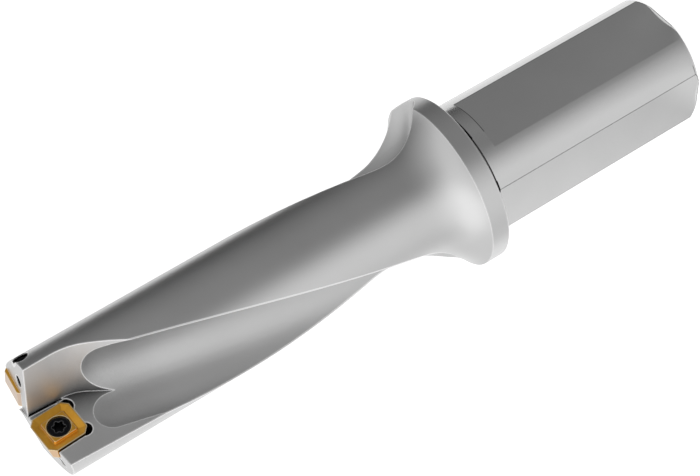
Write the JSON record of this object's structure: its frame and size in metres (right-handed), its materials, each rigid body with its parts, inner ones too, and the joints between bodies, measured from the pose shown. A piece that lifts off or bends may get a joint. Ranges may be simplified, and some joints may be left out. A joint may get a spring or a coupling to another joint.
{
  "type": "indexable drill",
  "caption": "Indexable insert drill with a flanged cylindrical shank, helical chip flutes and square coated inserts held by countersunk screws.",
  "frame": {"origin": "centre of the rear end face of the shank, on the axis of rotation", "axes": "+Z along the axis of rotation from the shank to the cutting tip; azimuths count from +X counter-clockwise as seen from the tip"},
  "size_m": [0.0412, 0.0412, 0.1708],
  "materials": {
    "drill_body": "satin nickel-grey steel with bright ground edges",
    "insert_coating": "matt gold-coloured hard coating",
    "black_screw": "black oxide"
  },
  "bodies": {
    "root": {"drill_body": "drill_body", "central_insert": "insert_coating", "peripheral_insert": "insert_coating", "central_screw": "black_screw", "peripheral_screw": "black_screw"}
  },
  "joints": []
}
